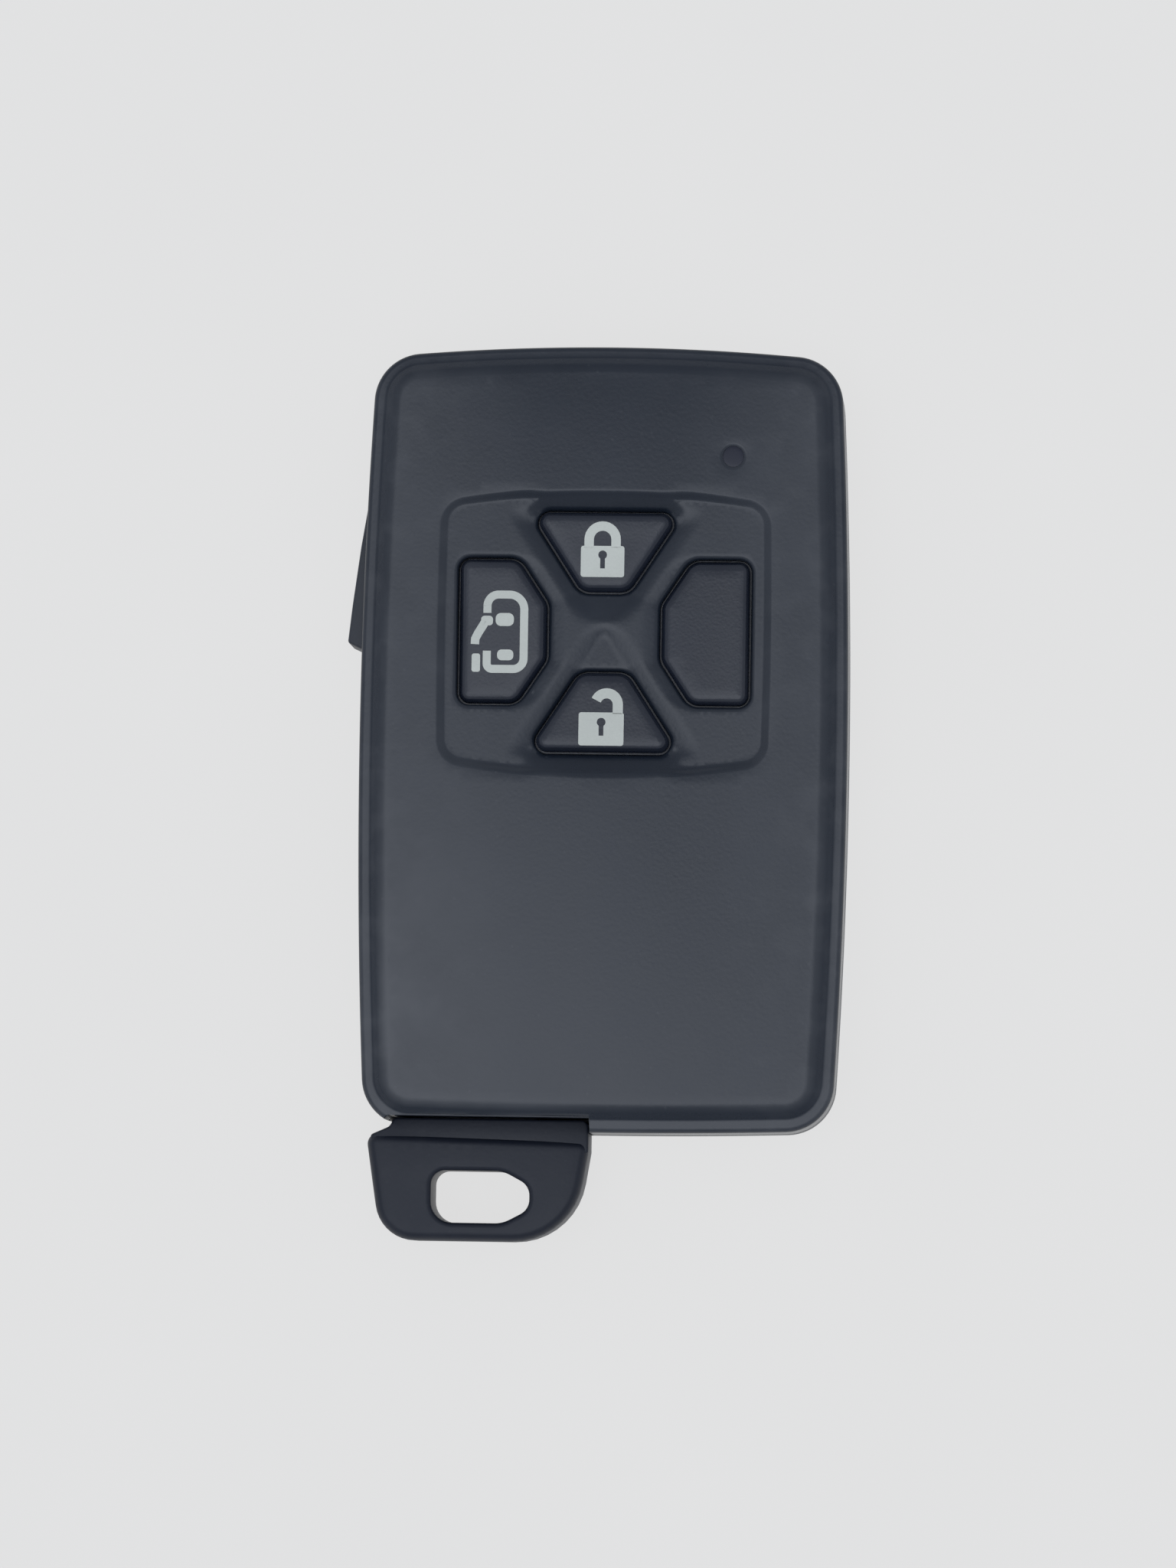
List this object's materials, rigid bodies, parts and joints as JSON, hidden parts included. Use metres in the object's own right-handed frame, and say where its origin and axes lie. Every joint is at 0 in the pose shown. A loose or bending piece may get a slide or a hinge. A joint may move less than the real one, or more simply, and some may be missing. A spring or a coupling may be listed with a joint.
{
  "type": "car key fob",
  "caption": "Flat car key fob in a two-part plastic case: push buttons round a cross, a blanking plug, an indicator, a side release lever and an emergency key that slides out.",
  "frame": {"origin": "middle of the flat back face, under the middle of the case", "axes": "+Y along the case to the indicator end, +Z out of the button face, +X to the right as the buttons are read; the emergency key leaves along -Y"},
  "size_m": [0.0427, 0.0759, 0.0114],
  "materials": {
    "case_front": "fine moulded grain, charcoal with a blue cast",
    "case_rear": "fine moulded grain, charcoal with a blue cast",
    "button": "smooth satin, charcoal",
    "lens": "dark smoked, polished",
    "silicone": "plain silicone",
    "board": "green solder mask",
    "carrier": "plain moulded",
    "switch_metal": "stamped, bright",
    "chip": "moulded epoxy",
    "led": "clear cast top",
    "component": "fired ceramic",
    "ferrite": "pressed ferrite",
    "copper": "enamelled copper wire",
    "cell_steel": "bright pressed steel",
    "contact": "plated spring strip",
    "steel": "bright steel",
    "plunger": "plain moulded",
    "lever": "satin, charcoal",
    "key_plastic": "satin, charcoal",
    "blade": "nickel plated, milled groove"
  },
  "bodies": {
    "case": {"front_cover": "case_front", "rear_cover": "case_rear", "blank_plug": "button", "indicator_lens": "lens", "keypad_membrane": "silicone", "circuit_board": "board", "board_carrier": "carrier", "lock_switch": "switch_metal", "unlock_switch": "switch_metal", "door_switch": "switch_metal", "controller_chip": "chip", "radio_chip": "chip", "crystal_can": "switch_metal", "indicator_led": "led", "chip_components": "component", "antenna_core": "ferrite", "antenna_windings": "copper", "coin_cell": "cell_steel", "positive_contact": "contact", "negative_contact": "contact", "lever_pin": "steel", "latch_spring": "steel"},
    "lock_button": {"lock_button": "button", "lock_plunger": "plunger"},
    "unlock_button": {"unlock_button": "button", "unlock_plunger": "plunger"},
    "door_button": {"door_button": "button", "door_plunger": "plunger"},
    "release_lever": {"release_lever": "lever", "latch_plate": "steel"},
    "emergency_key": {"key_head": "key_plastic", "key_blade": "blade"}
  },
  "joints": [
    {"name": "lock_button_press", "type": "slide", "parent": "case", "child": "lock_button", "axis": [0, 0, -1], "range_m": [0, 0.0003], "stiffness_N_per_m": 5000, "deforming": ["keypad_membrane"]},
    {"name": "unlock_button_press", "type": "slide", "parent": "case", "child": "unlock_button", "axis": [0, 0, -1], "range_m": [0, 0.0003], "stiffness_N_per_m": 5000, "deforming": ["keypad_membrane"]},
    {"name": "door_button_press", "type": "slide", "parent": "case", "child": "door_button", "axis": [0, 0, -1], "range_m": [0, 0.0003], "stiffness_N_per_m": 5000, "deforming": ["keypad_membrane"]},
    {"name": "release_lever_turn", "type": "hinge", "parent": "case", "child": "release_lever", "pos_m": [-0.0176, 0.01955, 0.0051], "axis": [0, 0, 1], "range_deg": [0, 6], "stiffness_Nm_per_rad": 0.3, "deforming": ["latch_spring"]},
    {"name": "key_slide", "type": "slide", "parent": "case", "child": "emergency_key", "axis": [0, -1, 0], "range_m": [0, 0.05]}
  ]
}
